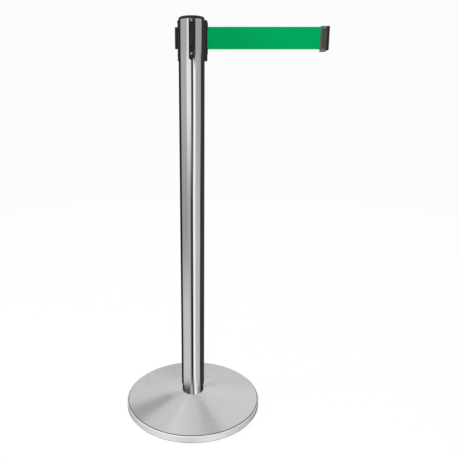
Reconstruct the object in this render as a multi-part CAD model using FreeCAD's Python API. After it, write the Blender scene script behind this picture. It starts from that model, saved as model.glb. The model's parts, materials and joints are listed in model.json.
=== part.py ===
"""Retractable belt stanchion: weighted round base, tubular post, spring-wound belt cassette and belt clip.

Millimetres. The origin is on the floor under the post's axis, +Z is up, and the belt pulls out along +X.
The three receivers for neighbouring belts face -Y (front), +Y (back) and -X (left).
"""

import FreeCAD, Part
import math
import os

Vector = FreeCAD.Vector
UP = Vector(0, 0, 1)
OUTWARD = Vector(1, 0, 0)

# Base
BASE_R = 185.6
BASE_TOP_Z = 37.0
BASE_TOP_R = 68.3
SHOULDER_ROUND = 4.0
SHEET = 1.0
LIP_R = 181.4
LIP_Z = 20.2
LIP_ROUND = 0.5
LIP_INSET_DROP = 0.8
RIM_TOP_Z = 18.6
RIM_ROUND = 3.0
RIM_BOTTOM_Z = 2.0
SPUN_GAP = 0.4
WEIGHT_SECTION = 14.0
WEIGHT_BOTTOM_Z = 5.0
WEIGHT_FOOT_R = 158.0
WEIGHT_FOOT_RISE = 2.0
WEIGHT_FOOT_RUN = 4.0
WEIGHT_BOSS_R = 28.0
WEIGHT_BOSS_Z = 20.0
BOSS_DRAFT = 3.0
RIB_COUNT = 6
RIB_WIDTH = 6.0
RIB_BOTTOM_Z = 14.0
PAD_R_IN = 164.0
PAD_GAP = 0.3
PAD_GROOVE_WIDTH = 3.0
PAD_GROOVE_DEEP = 1.2

# Bolt that holds the base to the post
BOLT_R = 6.0
BOLT_HOLE_CLEAR = 0.75
BOLT_END_GAP = 1.0
WASHER_R = 18.0
WASHER = 2.5
WASHER_BORE_CLEAR = 0.5
LOCK_WASHER_R = 10.2
LOCK_WASHER = 2.5
LOCK_WASHER_SPLIT = 1.2
LOCK_WASHER_BORE_CLEAR = 0.2
BOLT_HEAD = 7.5
BOLT_HEAD_FLATS = 18.0
BOLT_HEAD_CROWN = 1.6

# Post
TUBE_R = 31.75
TUBE_WALL = 1.5
TUBE_TOP_Z = 1016.4
NECK_R = 29.6
NECK_HEIGHT = 24.0
NECK_CHAMFER = 0.8
SPIGOT_HEIGHT = 36.0
SPIGOT_CHAMFER = 1.0
FOOT_FLOOR = 14.0
FOOT_BORE_R = 24.0
FIT = 0.05

# Cap
CAP_R = 31.2
CAP_SIDE = 6.4
CAP_CROWN = 3.2
CAP_ROUND = 4.5
CAP_WALL = 2.4
CAP_FIT = 0.15

# Head: strips along the post that carry the receivers and the belt's exit
STRIP_TOP_Z = 1015.6
STRIP_BOTTOM_Z = 924.6
STRIP_WIDTH = 12.6
STRIP_PROUD = 1.75
STRIP_ROUND = 1.0
SEAT_GAP = 0.02
WINDOW_MARGIN = 4.0
WINDOW_TOP_MARGIN = 1.2
KEY_HALF = 4.6
KEY_CLEAR = 0.3
KEY_HOUSING_GAP = 0.2
KEY_ROOT = 0.5
SCREW_TOP_Z = 1012.2
SCREW_LOW_Z = 938.9
SCREW_R = 1.45
SCREW_HEAD_R = 2.7
SCREW_HEAD = 1.9
SCREW_HEAD_ROUND = 0.7
SCREW_SEAT = 1.2
SCREW_TIP = 26.6
SHANK_CLEAR = 0.15
HEAD_CLEAR = 0.3
SHANK_IN_HEAD = 0.5
CROSS_HALF = 1.6
CROSS_HALF_WIDE = 0.35
CROSS_FLOOR = 1.0

# Belt
BELT_WIDTH = 50.8
BELT_THICK = 0.55
BELT_TOP_Z = 1002.5
BELT_OUT = 268.6
BELT_FULL = 2286.0
SPARE_TURNS = 2.0
BEND_R = 4.0
BEND_X = 33.0

# Receiver rail, and the clip's slot that slides down over it
RAIL_NECK = 5.0
RAIL_HEAD = 9.6
RAIL_NECK_DEEP = 3.2
RAIL_HEAD_DEEP = 3.0
RAIL_BELOW_TOP = 1.4
RAIL_ABOVE_BOTTOM = 0.4
RAIL_END_ROUND = 2.0
RAIL_EDGE_ROUND = 1.6
SLOT_CLEAR = 0.4

# Belt exit
BEZEL_WIDTH = 24.0
BEZEL_PROUD = 6.35
BEZEL_ROUND = 1.5
BEZEL_BOTTOM_ROUND = 4.5
BEZEL_TOP_ROUND = 1.8
MOUTH_WIDTH = 18.6
MOUTH_PROUD = 7.35
MOUTH_RECESS = 1.0
MOUTH_ROUND = 1.2
MOUTH_ABOVE = 7.0
MOUTH_BELOW = 11.6
MOUTH_SLOT = 3.6
MOUTH_SLOT_CLEAR = 1.0
MOUTH_KEY_HALF = 7.3
THROAT_WALL = 1.5
THROAT_BEYOND_BEND = 0.4
THROAT_HOUSING_GAP = 0.6
LIP_EDGE_ROUND = 1.1

# Cassette
HOUSING_R = 29.6
HOUSING_WALL = 2.0
HOUSING_BOTTOM_Z = 921.8
HOUSING_FLOOR = 3.0
HOUSING_TOP_Z = 1006.5
EXIT_WINDOW_X = 15.0
EXIT_WINDOW_Y = (-9.0, 11.0)
LID_PLATE = 2.5
LID_TOP_Z = 1014.4
LID_BOSS = 2.5
BOSS_R = 8.0
BOSS_RISE = 3.0
AXLE_R = 4.0
AXLE_FIT = 0.02
AXLE_HEAD_R = 6.5
AXLE_HEAD = 3.0
AXLE_CHAMFER = 0.6
AXLE_END = 3.0
RING_THICK = 0.9
RING_R = 6.4
RING_GROOVE = 0.8
RING_GAP = 3.2
LID_SCREW_PITCH_R = 27.4
LID_SCREW_R = 1.2
LID_SCREW_LENGTH = 12.0
LID_SCREW_HEAD_R = 2.1
LID_SHANK_CLEAR = 0.2
LID_HEAD_CLEAR = 0.9
LID_SCREW_HEAD = 1.6
LID_SCREW_SLOT = 0.6
LID_POST_R = 2.2
SCREW_PAD_R = 3.2
SCREW_PAD_IN = 1.6
SCREW_PAD_INTO_WALL = 0.8
FLANGE_R = 24.6
FLANGE = 1.8
FLANGE_CLEAR = 0.8
FLANGE_HOLE_R = 2.6
FLANGE_HOLE_PITCH_R = 17.5
FLANGE_HOLES = 6
HUB_R = 11.0
BUSH_R = 5.93
BUSH_LENGTH = 10.0
BUSH_FLANGE_R = 7.5
BUSH_FLANGE = 0.8
THRUST_WASHER = 0.4
THRUST_GAP = 0.05
THRUST_BORE_CLEAR = 0.15
CUP_R = 23.0
CUP_WALL = 1.2
CUP_GAP = 5.0
SPRING_THICK = 0.5
SPRING_PITCH = 1.5
SPRING_HALF_TURNS = 18
SPRING_END_GAP = 0.7
ARBOR_R = 6.6
ARBOR_SLIT = 1.0
ARBOR_TOP_GAP = 1.6

# Belt clip, with distances along +X from the clip's inner end
CLIP_LENGTH = 14.0
CLIP_HALF_DEEP = 4.0
CLIP_ABOVE = 1.6
CLIP_BELOW = 5.9
CLIP_ROUND = 1.2
CLIP_END_ROUND = 0.4
PANEL_X = (2.8, 12.4)
PANEL_DEEP = 0.8
PANEL_BELOW = 1.5
PANEL_ABOVE = 5.0
ENTRY_END = 4.0
ENTRY_HALF_DEEP = 0.6
POCKET_START = 3.2
POCKET_END = 9.6
POCKET_HALF_DEEP = 2.1
POCKET_CLEAR = 0.6
JAW_LENGTH = 6.2
JAW_LIP = 1.6
JAW_DROP = 0.5
JAW_HALF_DEEP = 7.2
JAW_BELOW = 2.4
JAW_CHAMFER = 0.8
JAW_ROUND = 0.8
TONGUE_HALF_DEEP = 1.6
COVER_THICK = 2.0
COVER_LIP_X = (0.4, 3.0)
PIN_R = 1.2
PIN_OVER = 0.3
PIN_X = 6.4
CLIP_SCREW_X = 11.6
CLIP_SCREW_R = 1.0
CLIP_SCREW_HEAD_R = 1.8
CLIP_SCREW_SEAT = 1.1
CLIP_SCREW_TIP_Y = -2.0
CLIP_SCREW_SPACING = 21.0
CLIP_CROSS_HALF = 1.1
CLIP_CROSS_HALF_WIDE = 0.25
CLIP_CROSS_DEEP = 0.4
CLIP_HEAD_SUNK = 0.15
CLIP_SHANK_IN_HEAD = 0.3
CLIP_SHANK_CLEAR = 0.15
CLIP_COVER_CLEAR = 0.2

# Worked out from the sizes above
TUBE_R_IN = TUBE_R - TUBE_WALL
TUBE_BOTTOM_Z = BASE_TOP_Z + NECK_HEIGHT
STRIP_R = TUBE_R + STRIP_PROUD
BELT_BOTTOM_Z = BELT_TOP_Z - BELT_WIDTH
BELT_MID_Z = BELT_TOP_Z - BELT_WIDTH / 2
RAIL_TOP_Z = BELT_TOP_Z - RAIL_BELOW_TOP
RAIL_BOTTOM_Z = BELT_BOTTOM_Z + RAIL_ABOVE_BOTTOM
BEZEL_R = TUBE_R + BEZEL_PROUD
MOUTH_X = TUBE_R + MOUTH_PROUD
MOUTH_FACE_X = MOUTH_X - MOUTH_RECESS
BOLT_HOLE_R = BOLT_R + BOLT_HOLE_CLEAR
CLIP_X = MOUTH_X + BELT_OUT
CLIP_TOP_Z = BELT_TOP_Z + CLIP_ABOVE
CLIP_BOTTOM_Z = BELT_BOTTOM_Z - CLIP_BELOW
SPLIT_Y = CLIP_HALF_DEEP - COVER_THICK
ROLL_LENGTH = BELT_FULL - BELT_OUT + SPARE_TURNS * 2 * math.pi * HUB_R
ROLL_R = math.sqrt(HUB_R**2 + ROLL_LENGTH * BELT_THICK / math.pi)
FLANGE_LOW_Z = BELT_BOTTOM_Z - FLANGE_CLEAR
FLANGE_TOP_Z = BELT_TOP_Z + FLANGE_CLEAR
CUP_TOP_Z = FLANGE_LOW_Z - FLANGE
HOUSING_FLOOR_Z = HOUSING_BOTTOM_Z + HOUSING_FLOOR
HOUSING_R_IN = HOUSING_R - HOUSING_WALL
CUP_BOTTOM_Z = HOUSING_FLOOR_Z + CUP_GAP
ARBOR_BOTTOM_Z = HOUSING_FLOOR_Z + BOSS_RISE
LID_PLATE_Z = HOUSING_TOP_Z + LID_PLATE
RING_Z = LID_PLATE_Z + LID_BOSS
AXLE_TOP_Z = RING_Z + AXLE_END
SCREW_SEAT_X = STRIP_R - SCREW_SEAT
CLIP_SCREW_SEAT_Y = CLIP_HALF_DEEP - CLIP_SCREW_SEAT
DIAGONAL = math.sqrt(0.5)
OVER = 1.0
OVERLAP = 0.5
NEAR = 0.01
AZIMUTHS = {"front": -90, "back": 90, "left": 180}


def box(x0, x1, y0, y1, z0, z1):
    return Part.makeBox(x1 - x0, y1 - y0, z1 - z0, Vector(x0, y0, z0))


def disc(radius, z0, z1, x=0.0, y=0.0):
    return Part.makeCylinder(radius, z1 - z0, Vector(x, y, z0), UP)


def ring(r_in, r_out, z0, z1):
    return disc(r_out, z0, z1).cut(disc(r_in, z0 - OVER, z1 + OVER))


def rod_out(radius, x0, x1, z):
    """A cylinder along +X at height z."""
    return Part.makeCylinder(radius, x1 - x0, Vector(x0, 0, z), OUTWARD)


def turned(*edges):
    """Revolves a closed (radius, height) outline of edges about the post's axis."""
    face = Part.Face(Part.Wire(Part.__sortEdges__(list(edges))))
    return face.revolve(Vector(0, 0, 0), UP, 360)


def line(a, b):
    return Part.LineSegment(Vector(a[0], 0, a[1]), Vector(b[0], 0, b[1])).toShape()


def arc(a, via, b):
    return Part.Arc(Vector(a[0], 0, a[1]), Vector(via[0], 0, via[1]), Vector(b[0], 0, b[1])).toShape()


def turned_polygon(points):
    return turned(*[line(a, b) for a, b in zip(points, points[1:] + points[:1])])


def raised(points, z0, z1):
    """Extrudes a closed (x, y) polygon from z0 to z1."""
    wire = Part.makePolygon([Vector(x, y, z0) for x, y in points + points[:1]])
    return Part.Face(wire).extrude(Vector(0, 0, z1 - z0))


def facing(shape, azimuth):
    """Turns a shape made for the +X side of the post to another side."""
    turned_shape = shape.copy()
    turned_shape.rotate(Vector(0, 0, 0), UP, azimuth)
    return turned_shape


def around(shape, count, first=0.0):
    return [facing(shape, first + 360.0 / count * i) for i in range(count)]


def fused(shapes):
    return shapes[0].fuse(shapes[1:]).removeSplitter()


def edges_in(shape, x=None, y=None, z=None):
    """The edges that lie wholly within the given (low, high) spans."""
    found = []
    for edge in shape.Edges:
        b = edge.BoundBox
        spans = [(x, b.XMin, b.XMax), (y, b.YMin, b.YMax), (z, b.ZMin, b.ZMax)]
        if all(s is None or (low >= s[0] - NEAR and high <= s[1] + NEAR) for s, low, high in spans):
            found.append(edge)
    return found


def strip_outline(half_width, bottom_round, x0, x1):
    """A strip standing on edge, with square top corners and rounded bottom ones, from x0 to x1."""
    flat = half_width - bottom_round
    low = STRIP_BOTTOM_Z + bottom_round
    bend = bottom_round * DIAGONAL
    left = [
        Vector(x0, -half_width, STRIP_TOP_Z),
        Vector(x0, -half_width, low),
        Vector(x0, -flat - bend, low - bend),
        Vector(x0, -flat, STRIP_BOTTOM_Z),
    ]
    right = [Vector(x0, -p.y, p.z) for p in left]
    edges = [
        Part.LineSegment(right[0], left[0]).toShape(),
        Part.LineSegment(left[0], left[1]).toShape(),
        Part.Arc(*left[1:]).toShape(),
        Part.Arc(right[3], right[2], right[1]).toShape(),
        Part.LineSegment(right[1], right[0]).toShape(),
    ]
    if flat > 0:
        edges.append(Part.LineSegment(left[3], right[3]).toShape())
    wire = Part.Wire(Part.__sortEdges__(edges))
    return Part.Face(wire).extrude(Vector(x1 - x0, 0, 0))


# ---------------------------------------------------------------- base


def base_cover():
    """A shallow spun cone with a stepped lip, a rounded rim below it and a short skirt."""
    rim_x = BASE_R - RIM_ROUND

    def profile(inset):
        r = RIM_ROUND - inset
        z = RIM_TOP_Z - RIM_ROUND
        return {
            "eye": (BOLT_HOLE_R, BASE_TOP_Z - inset),
            "top": (BASE_TOP_R, BASE_TOP_Z - inset),
            "lip": (LIP_R - inset, LIP_Z - inset * LIP_INSET_DROP),
            "foot": (LIP_R - inset, RIM_TOP_Z - inset),
            "shoulder": (rim_x, RIM_TOP_Z - inset),
            "over": (rim_x + r * DIAGONAL, z + r * DIAGONAL),
            "side": (rim_x + r, z),
            "bottom": (rim_x + r, RIM_BOTTOM_Z),
        }

    outside, inside = profile(0.0), profile(SHEET)
    edges = [line(outside["bottom"], inside["bottom"]), line(outside["eye"], inside["eye"])]
    for p in (outside, inside):
        edges += [line(p[a], p[b]) for a, b in (("eye", "top"), ("top", "lip"), ("lip", "foot"))]
        edges += [line(p["foot"], p["shoulder"]), line(p["side"], p["bottom"])]
        edges.append(arc(p["shoulder"], p["over"], p["side"]))
    cover = turned(*edges)
    for radius, z, rounding in ((BASE_TOP_R, BASE_TOP_Z, SHOULDER_ROUND), (LIP_R, LIP_Z, LIP_ROUND)):
        circle = [e for e in edges_in(cover, z=(z, z)) if abs(e.BoundBox.XMax - radius) < 0.01]
        cover = cover.makeFillet(rounding, [e for e in circle if e.Length > radius])
    return cover


def weight_outline(bottom):
    """The weight's outside, closed by the given (radius, height) points of its underside."""
    top_z = BASE_TOP_Z - SHEET
    slope_r = LIP_R - 2 * SHEET
    rim_r = BASE_R - SHEET - SPUN_GAP
    step_z = RIM_TOP_Z - SHEET - SPUN_GAP
    points = [
        (BOLT_HOLE_R, top_z),
        (BASE_TOP_R - SHOULDER_ROUND - 2.0, top_z),
        (slope_r, LIP_Z - SHEET - SPUN_GAP / 2),
        (slope_r, step_z),
        (rim_r - RIM_ROUND, step_z),
        (rim_r, step_z - RIM_ROUND),
        (rim_r, WEIGHT_BOTTOM_Z),
    ]
    return turned_polygon(points + bottom)


def base_weight():
    roof_z = BASE_TOP_Z - SHEET - WEIGHT_SECTION
    casting = weight_outline(
        [
            (WEIGHT_FOOT_R, WEIGHT_BOTTOM_Z),
            (WEIGHT_FOOT_R - WEIGHT_FOOT_RUN, WEIGHT_BOTTOM_Z + WEIGHT_FOOT_RISE),
            (BASE_TOP_R, roof_z),
            (WEIGHT_BOSS_R + BOSS_DRAFT, roof_z),
            (WEIGHT_BOSS_R, WEIGHT_BOSS_Z),
            (BOLT_HOLE_R, WEIGHT_BOSS_Z),
        ]
    )
    full = weight_outline([(BOLT_HOLE_R, WEIGHT_BOTTOM_Z)])
    inner, outer = WEIGHT_BOSS_R - WEIGHT_FOOT_RUN, WEIGHT_FOOT_R - WEIGHT_FOOT_RISE
    rib_bar = box(inner, outer, -RIB_WIDTH / 2, RIB_WIDTH / 2, RIB_BOTTOM_Z, BASE_TOP_Z)
    ribs = [rib.common(full) for rib in around(rib_bar, RIB_COUNT)]
    return fused([casting] + ribs)


def floor_pad():
    """A rubber ring under the weight's rim, with a groove round its sole."""
    r_out = BASE_R - SHEET - PAD_GAP
    middle = (PAD_R_IN + r_out) / 2
    half = PAD_GROOVE_WIDTH / 2
    pad = ring(PAD_R_IN, r_out, 0.0, WEIGHT_BOTTOM_Z)
    return pad.cut(ring(middle - half, middle + half, -OVER, PAD_GROOVE_DEEP))


def base_washer():
    return ring(BOLT_R + WASHER_BORE_CLEAR, WASHER_R, WEIGHT_BOSS_Z - WASHER, WEIGHT_BOSS_Z)


def lock_washer():
    top = WEIGHT_BOSS_Z - WASHER
    half = LOCK_WASHER_SPLIT / 2
    split = box(0.0, LOCK_WASHER_R + OVER, -half, half, top - LOCK_WASHER - OVER, top + OVER)
    return ring(BOLT_R + LOCK_WASHER_BORE_CLEAR, LOCK_WASHER_R, top - LOCK_WASHER, top).cut(split)


def base_bolt():
    """A hexagon-headed bolt from under the weight up into the post's foot."""
    seat = WEIGHT_BOSS_Z - WASHER - LOCK_WASHER
    corner_r = BOLT_HEAD_FLATS / math.sqrt(3)
    angles = [math.radians(60 * i) for i in range(6)]
    corners = [(corner_r * math.cos(a), corner_r * math.sin(a)) for a in angles]
    head = raised(corners, seat - BOLT_HEAD, seat)
    crown_r = corner_r - BOLT_HEAD_CROWN
    crown = Part.makeCone(crown_r, crown_r + BOLT_HEAD, BOLT_HEAD, Vector(0, 0, seat - BOLT_HEAD), UP)
    shank = disc(BOLT_R - FIT, seat - OVER, BASE_TOP_Z + FOOT_FLOOR - BOLT_END_GAP)
    return fused([head.common(crown), shank])


# ---------------------------------------------------------------- post


def window(half_width):
    """The cutter for an opening in the tube's wall on the +X side, behind a strip."""
    low, high = STRIP_BOTTOM_Z + WINDOW_MARGIN, STRIP_TOP_Z - WINDOW_TOP_MARGIN
    return box(TUBE_R_IN / 2, TUBE_R + OVER, -half_width, half_width, low, high)


def post_tube():
    tube = ring(TUBE_R_IN, TUBE_R, TUBE_BOTTOM_Z, TUBE_TOP_Z)
    cutters = [facing(window(KEY_HALF + KEY_CLEAR), a) for a in AZIMUTHS.values()]
    return tube.cut(cutters + [window(MOUTH_KEY_HALF + KEY_CLEAR)])


def post_foot():
    """The polished neck under the tube, pressed up into it and tapped for the bolt in the base."""
    top = TUBE_BOTTOM_Z + SPIGOT_HEIGHT
    spigot_r = TUBE_R_IN - FIT
    floor_z = BASE_TOP_Z + FOOT_FLOOR
    return turned_polygon(
        [
            (BOLT_R, BASE_TOP_Z),
            (NECK_R - NECK_CHAMFER, BASE_TOP_Z),
            (NECK_R, BASE_TOP_Z + NECK_CHAMFER),
            (NECK_R, TUBE_BOTTOM_Z),
            (spigot_r, TUBE_BOTTOM_Z + SPIGOT_CHAMFER),
            (spigot_r, top - SPIGOT_CHAMFER),
            (spigot_r - SPIGOT_CHAMFER, top),
            (FOOT_BORE_R, top),
            (FOOT_BORE_R, floor_z),
            (BOLT_R, floor_z),
        ]
    )


def top_cap():
    """A shallow dome with rounded shoulders that plugs into the tube's mouth."""
    edge_z = TUBE_TOP_Z + CAP_SIDE
    apex_z = edge_z + CAP_CROWN
    dome_r = (CAP_R**2 + CAP_CROWN**2) / (2 * CAP_CROWN)
    centre = Vector(0, 0, apex_z - dome_r)
    plug_r = TUBE_R_IN - CAP_FIT
    plug_in = plug_r - CAP_WALL
    plug_z = LID_TOP_Z + PAD_GAP
    lens = disc(CAP_R, TUBE_TOP_Z, apex_z + OVER).common(Part.makeSphere(dome_r, centre))
    lens = lens.makeFillet(CAP_ROUND, edges_in(lens, z=(edge_z, edge_z)))
    hollow = disc(plug_in, plug_z - OVER, apex_z).common(Part.makeSphere(dome_r - CAP_WALL, centre))
    return lens.fuse(disc(plug_r, plug_z, TUBE_TOP_Z + OVER)).cut(hollow).removeSplitter()


# ---------------------------------------------------------------- head strips


def screw_holes():
    """Cutters for a strip's two screws: holes for the shanks, and counterbores outside their seats."""
    cutters = []
    for z in (SCREW_LOW_Z, SCREW_TOP_Z):
        cutters.append(rod_out(SCREW_R + SHANK_CLEAR, SCREW_TIP, SCREW_SEAT_X + OVER, z))
        cutters.append(rod_out(SCREW_HEAD_R + HEAD_CLEAR, SCREW_SEAT_X, MOUTH_X + OVER, z))
    return cutters


def strip(half_width, bottom_round, radius, rounding):
    """A strip that hugs the post, with its long outer edges rounded."""
    outline = strip_outline(half_width, bottom_round, TUBE_R_IN / 2, radius + OVER)
    body = outline.common(disc(radius, STRIP_BOTTOM_Z, STRIP_TOP_Z))
    body = body.cut(disc(TUBE_R + SEAT_GAP, STRIP_BOTTOM_Z - OVER, STRIP_TOP_Z + OVER))
    tall = [e for e in body.Edges if e.BoundBox.ZLength > half_width and e.BoundBox.YLength < 0.01]
    outer = [e for e in tall if math.hypot(e.Vertexes[0].X, e.Vertexes[0].Y) > radius - NEAR]
    return body.makeFillet(rounding, outer)


def key(half_width):
    """The block behind a strip that fills the tube's window and rests on the cassette."""
    low = STRIP_BOTTOM_Z + WINDOW_MARGIN + KEY_CLEAR
    high = STRIP_TOP_Z - WINDOW_TOP_MARGIN - KEY_CLEAR
    return box(HOUSING_R + KEY_HOUSING_GAP, TUBE_R + KEY_ROOT, -half_width, half_width, low, high)


def receiver():
    """A strip with the T-shaped rail that a neighbour's belt clip slides down over."""
    body = strip(STRIP_WIDTH / 2, STRIP_WIDTH / 2, STRIP_R, STRIP_ROUND)
    neck_x = STRIP_R + RAIL_NECK_DEEP
    outer_x = neck_x + RAIL_HEAD_DEEP
    neck_half, head_half = RAIL_NECK / 2, RAIL_HEAD / 2
    neck = box(TUBE_R + OVER, neck_x + OVER, -neck_half, neck_half, RAIL_BOTTOM_Z, RAIL_TOP_Z)
    head = box(neck_x, outer_x, -head_half, head_half, RAIL_BOTTOM_Z, RAIL_TOP_Z)
    head = head.makeFillet(RAIL_END_ROUND, [e for e in head.Edges if e.BoundBox.XLength > OVER])
    head = head.makeFillet(RAIL_EDGE_ROUND, edges_in(head, x=(outer_x, outer_x)))
    return fused([body, key(KEY_HALF), neck, head]).cut(screw_holes()).removeSplitter()


def exit_bezel():
    """The strip on the belt's side, with a raised mouth that the belt comes out of over rounded lips."""
    half = MOUTH_WIDTH / 2
    body = strip(BEZEL_WIDTH / 2, BEZEL_BOTTOM_ROUND, BEZEL_R, BEZEL_ROUND)
    top = [e for e in edges_in(body, z=(STRIP_TOP_Z, STRIP_TOP_Z)) if e.BoundBox.XMin > TUBE_R + OVER]
    body = body.makeFillet(BEZEL_TOP_ROUND, top)
    low, high = BELT_BOTTOM_Z - MOUTH_BELOW, BELT_TOP_Z + MOUTH_ABOVE
    slot_low, slot_high = BELT_BOTTOM_Z - MOUTH_SLOT_CLEAR, BELT_TOP_Z + MOUTH_SLOT_CLEAR
    mouth = box(TUBE_R_IN + OVER, MOUTH_X, -half, half, low, high)
    mouth = mouth.cut(disc(TUBE_R + SEAT_GAP, low - OVER, high + OVER))
    mouth = mouth.makeFillet(MOUTH_ROUND, edges_in(mouth, x=(MOUTH_X, MOUTH_X)))
    recess = box(MOUTH_FACE_X, MOUTH_X + OVER, -half - OVER, half + OVER, slot_low, slot_high)
    gap = MOUTH_SLOT / 2
    throat_x = BEND_X + THROAT_BEYOND_BEND
    inside_x = HOUSING_R - OVER
    wide = MOUTH_KEY_HALF - THROAT_WALL
    slot = raised(
        [
            (MOUTH_X + OVER, -gap),
            (MOUTH_X + OVER, gap),
            (throat_x, gap),
            (HOUSING_R + THROAT_HOUSING_GAP, wide),
            (inside_x, wide),
            (inside_x, -MOUTH_KEY_HALF / 2),
            (throat_x, -gap),
        ],
        slot_low,
        slot_high,
    )
    whole = fused([body, key(MOUTH_KEY_HALF), mouth]).cut([recess, slot] + screw_holes())
    lips = edges_in(whole, x=(MOUTH_FACE_X, MOUTH_FACE_X), y=(-gap, gap), z=(slot_low, slot_high))
    return whole.makeFillet(LIP_EDGE_ROUND, [e for e in lips if e.BoundBox.ZLength > OVER])


def head_screws():
    """Eight identical screws, two in each strip, that clamp the strips to the cassette."""
    screws = []
    top_x = SCREW_SEAT_X + SCREW_HEAD
    cross_x = SCREW_SEAT_X + CROSS_FLOOR
    for z in (SCREW_LOW_Z, SCREW_TOP_Z):
        shank = rod_out(SCREW_R, SCREW_TIP, SCREW_SEAT_X + SHANK_IN_HEAD, z)
        head = rod_out(SCREW_HEAD_R, SCREW_SEAT_X, top_x, z)
        head = head.makeFillet(SCREW_HEAD_ROUND, edges_in(head, x=(top_x, top_x)))
        cross = [
            box(cross_x, top_x + OVER, -a, a, z - b, z + b)
            for a, b in ((CROSS_HALF, CROSS_HALF_WIDE), (CROSS_HALF_WIDE, CROSS_HALF))
        ]
        screws += around(shank.fuse(head).cut(cross), 4)
    return Part.makeCompound(screws)


# ---------------------------------------------------------------- cassette, fixed parts


def lid_screw_places():
    angles = [math.radians(45 + 90 * i) for i in range(4)]
    return [(LID_SCREW_PITCH_R * math.cos(a), LID_SCREW_PITCH_R * math.sin(a)) for a in angles]


def radial_holes(z):
    return around(rod_out(SCREW_R + FIT, SCREW_TIP - SCREW_PAD_R, HOUSING_R + OVER, z), 4)


def cassette_housing():
    limit = disc(HOUSING_R, HOUSING_BOTTOM_Z, HOUSING_TOP_Z)
    shell = limit.cut(disc(HOUSING_R_IN, HOUSING_FLOOR_Z, HOUSING_TOP_Z + OVER))
    boss = disc(BOSS_R, HOUSING_BOTTOM_Z, ARBOR_BOTTOM_Z)
    places = lid_screw_places()
    posts = [disc(LID_POST_R, ARBOR_BOTTOM_Z - BOSS_RISE, HOUSING_TOP_Z, x, y) for x, y in places]
    posts = [post.common(limit) for post in posts]
    pad = rod_out(SCREW_PAD_R, SCREW_TIP - SCREW_PAD_IN, HOUSING_R - SCREW_PAD_INTO_WALL, SCREW_LOW_Z)
    pads = around(pad, 4)
    whole = fused([shell, boss] + posts + pads)
    low, high = CUP_TOP_Z - OVER, HOUSING_TOP_Z + OVER
    exit_window = box(EXIT_WINDOW_X, HOUSING_R + OVER, *EXIT_WINDOW_Y, low, high)
    hole_bottom = HOUSING_TOP_Z - LID_SCREW_LENGTH - OVER
    holes = [disc(LID_SCREW_R + FIT, hole_bottom, high, x, y) for x, y in places]
    bore = disc(AXLE_R + AXLE_FIT, HOUSING_BOTTOM_Z - OVER, ARBOR_BOTTOM_Z + OVER)
    return whole.cut([exit_window, bore] + holes + radial_holes(SCREW_LOW_Z))


def cassette_lid():
    plate = disc(HOUSING_R, HOUSING_TOP_Z, LID_PLATE_Z)
    skirt = ring(HOUSING_R_IN, HOUSING_R, HOUSING_TOP_Z, LID_TOP_Z)
    boss = disc(BOSS_R, HOUSING_TOP_Z, RING_Z)
    cutters = [disc(AXLE_R + AXLE_FIT, HOUSING_TOP_Z - OVER, LID_TOP_Z + OVER)]
    for x, y in lid_screw_places():
        cutters.append(disc(LID_SCREW_R + LID_SHANK_CLEAR, HOUSING_TOP_Z - OVER, LID_PLATE_Z + OVER, x, y))
        cutters.append(disc(LID_SCREW_HEAD_R + LID_HEAD_CLEAR, LID_PLATE_Z, LID_TOP_Z + OVER, x, y))
    return fused([plate, skirt, boss]).cut(cutters + radial_holes(SCREW_TOP_Z))


def lid_screws():
    screws = []
    half = LID_SCREW_SLOT / 2
    slot_z = LID_PLATE_Z + LID_SCREW_HEAD / 2
    for x, y in lid_screw_places():
        shank = disc(LID_SCREW_R, HOUSING_TOP_Z - LID_SCREW_LENGTH, LID_PLATE_Z + SHANK_IN_HEAD, x, y)
        head = disc(LID_SCREW_HEAD_R, LID_PLATE_Z, LID_PLATE_Z + LID_SCREW_HEAD, x, y)
        reach = LID_SCREW_HEAD_R + OVER
        slot = box(x - reach, x + reach, y - half, y + half, slot_z, slot_z + reach)
        screws.append(shank.fuse(head).cut(slot))
    return Part.makeCompound(screws)


def spool_axle():
    """A headed steel pin through the cassette, with a groove for the retaining ring at its top."""
    pin = disc(AXLE_R, HOUSING_BOTTOM_Z - OVER, AXLE_TOP_Z)
    pin = pin.makeChamfer(AXLE_CHAMFER, edges_in(pin, z=(AXLE_TOP_Z, AXLE_TOP_Z)))
    head = disc(AXLE_HEAD_R, HOUSING_BOTTOM_Z - AXLE_HEAD, HOUSING_BOTTOM_Z)
    groove = ring(AXLE_R - RING_GROOVE, AXLE_R + OVER, RING_Z, RING_Z + RING_THICK + 2 * FIT)
    return fused([pin, head]).cut(groove)


def retaining_ring():
    half = RING_GAP / 2
    low = RING_Z + FIT
    gap = box(0.0, RING_R + OVER, -half, half, low - OVER, low + RING_THICK + OVER)
    return ring(AXLE_R - RING_GROOVE + FIT, RING_R, low, low + RING_THICK).cut(gap)


def spring_arbor():
    """The fixed sleeve on the axle that holds the spring's inner end."""
    half = ARBOR_SLIT / 2
    slit = box(ARBOR_R - 1.6, ARBOR_R + OVER, -half, half, ARBOR_BOTTOM_Z - OVER, CUP_TOP_Z)
    return ring(AXLE_R + AXLE_FIT, ARBOR_R, ARBOR_BOTTOM_Z, CUP_TOP_Z - ARBOR_TOP_GAP).cut(slit)


# ---------------------------------------------------------------- cassette, turning parts


def spool_hub():
    """The moulded hub that the belt is wound on, with its lower flange."""
    bore = BUSH_R + AXLE_FIT
    lower = ring(bore, FLANGE_R, CUP_TOP_Z, FLANGE_LOW_Z)
    barrel = ring(bore, HUB_R, CUP_TOP_Z, FLANGE_TOP_Z)
    register = ring(bore, BOSS_R, CUP_TOP_Z, FLANGE_TOP_Z + FLANGE)
    return fused([lower, barrel, register])


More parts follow.
